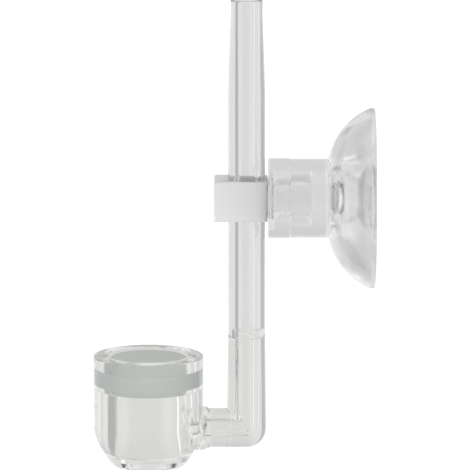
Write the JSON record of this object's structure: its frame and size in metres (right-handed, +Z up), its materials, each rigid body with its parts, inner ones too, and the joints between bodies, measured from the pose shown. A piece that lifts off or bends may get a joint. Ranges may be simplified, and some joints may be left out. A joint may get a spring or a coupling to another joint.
{
  "type": "carbon dioxide diffuser",
  "caption": "Clear gas diffuser for a planted aquarium: a hose tube and elbow feed a cup with a ceramic disc, held by a swivelling clip on a suction cup.",
  "frame": {"origin": "centre of the suction cup's rim, on the plane where it meets the glass", "axes": "+X out of the suction cup into the glass, +Z up along the riser towards the hose tip; the cross arm leads along -X to the gas cup"},
  "size_m": [0.047, 0.03, 0.0789],
  "materials": {
    "soft_vinyl": "clear soft vinyl, smooth and slightly wavy",
    "milky_plastic": "milky translucent plastic, satin",
    "clear_tube": "clear plastic, polished",
    "clear_moulding": "clear moulded plastic, polished, faintly warm",
    "sintered_ceramic": "fine sintered ceramic, matte grey-green",
    "sealant": "clear sealant that shows the disc's colour, satin"
  },
  "bodies": {
    "suction_cup": {"suction_cup": "soft_vinyl"},
    "clip": {"tube_clip": "milky_plastic"},
    "riser": {"riser_tube": "clear_tube"},
    "diffuser": {"elbow": "clear_moulding", "cross_arm": "clear_moulding", "gas_cup": "clear_moulding", "ceramic_disc": "sintered_ceramic", "disc_seal": "sealant"}
  },
  "joints": [
    {"name": "clip_swivel", "type": "hinge", "parent": "suction_cup", "child": "clip", "pos_m": [-0.0143, 0, 0], "axis": [1, 0, 0], "continuous": true},
    {"name": "riser_slide", "type": "slide", "parent": "clip", "child": "riser", "axis": [0, 0, 1], "range_m": [-0.014, 0.0195]},
    {"name": "cup_turn", "type": "hinge", "parent": "riser", "child": "diffuser", "pos_m": [-0.0214, 0, -0.0233], "axis": [0, 0, 1], "range_deg": [-110, 110]}
  ]
}
